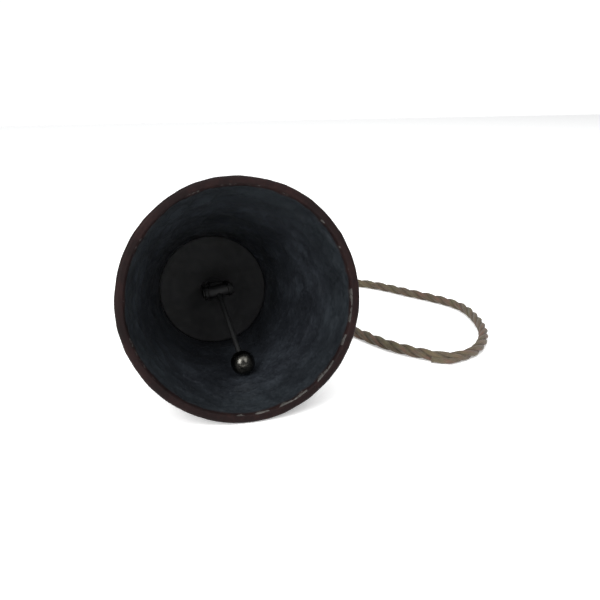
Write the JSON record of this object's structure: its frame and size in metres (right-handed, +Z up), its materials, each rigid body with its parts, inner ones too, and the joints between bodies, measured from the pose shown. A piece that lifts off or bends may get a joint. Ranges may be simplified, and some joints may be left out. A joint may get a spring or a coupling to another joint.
{
  "type": "hand bell",
  "caption": "Flared hammered iron dinner bell lying on its side, with a swivelling ball clapper inside and a jute rope loop through an eye on its crown.",
  "frame": {"origin": "middle of the underside of the bell as it lies on its side, without the rope", "axes": "+Z up, the bell's mouth towards -Y and its crown towards +Y, the rope loop on the +X side"},
  "size_m": [0.2012, 0.183, 0.0976],
  "materials": {
    "shell_iron": "hammered, blackened, satin",
    "crown_iron": "flat, blackened, matt",
    "hanger_iron": "forged, oxidised, satin",
    "hardware_steel": "dark, dull",
    "rod_steel": "dark, dull",
    "ball_steel": "polished",
    "jute": "coarse three-strand twist"
  },
  "bodies": {
    "bell": {"bell_shell": "shell_iron", "crown_plate": "crown_iron", "hanger_eyebolt": "hanger_iron", "outer_washer": "hanger_iron", "inner_washer": "hardware_steel", "clamp_nut": "hardware_steel", "retaining_nut": "hardware_steel"},
    "shackle": {"clapper_shackle": "hardware_steel", "shackle_pin": "hardware_steel"},
    "clapper": {"clapper_rod": "rod_steel", "clapper_ball": "ball_steel"},
    "rope": {"rope_loop": "jute"}
  },
  "joints": [
    {"name": "clapper_swivel", "type": "hinge", "parent": "bell", "child": "shackle", "pos_m": [0, 0.02044, 0.03274], "axis": [0, 0.9722, -0.2341], "continuous": true},
    {"name": "clapper_swing", "type": "hinge", "parent": "shackle", "child": "clapper", "pos_m": [0, 0.02044, 0.03274], "axis": [-0.9903, -0.0326, -0.1353], "range_deg": [0, 83.75]},
    {"name": "rope_swing", "type": "hinge", "parent": "bell", "child": "rope", "pos_m": [0, 0.05068, 0.02546], "axis": [0, 0, 1], "range_deg": [0, 135]}
  ]
}
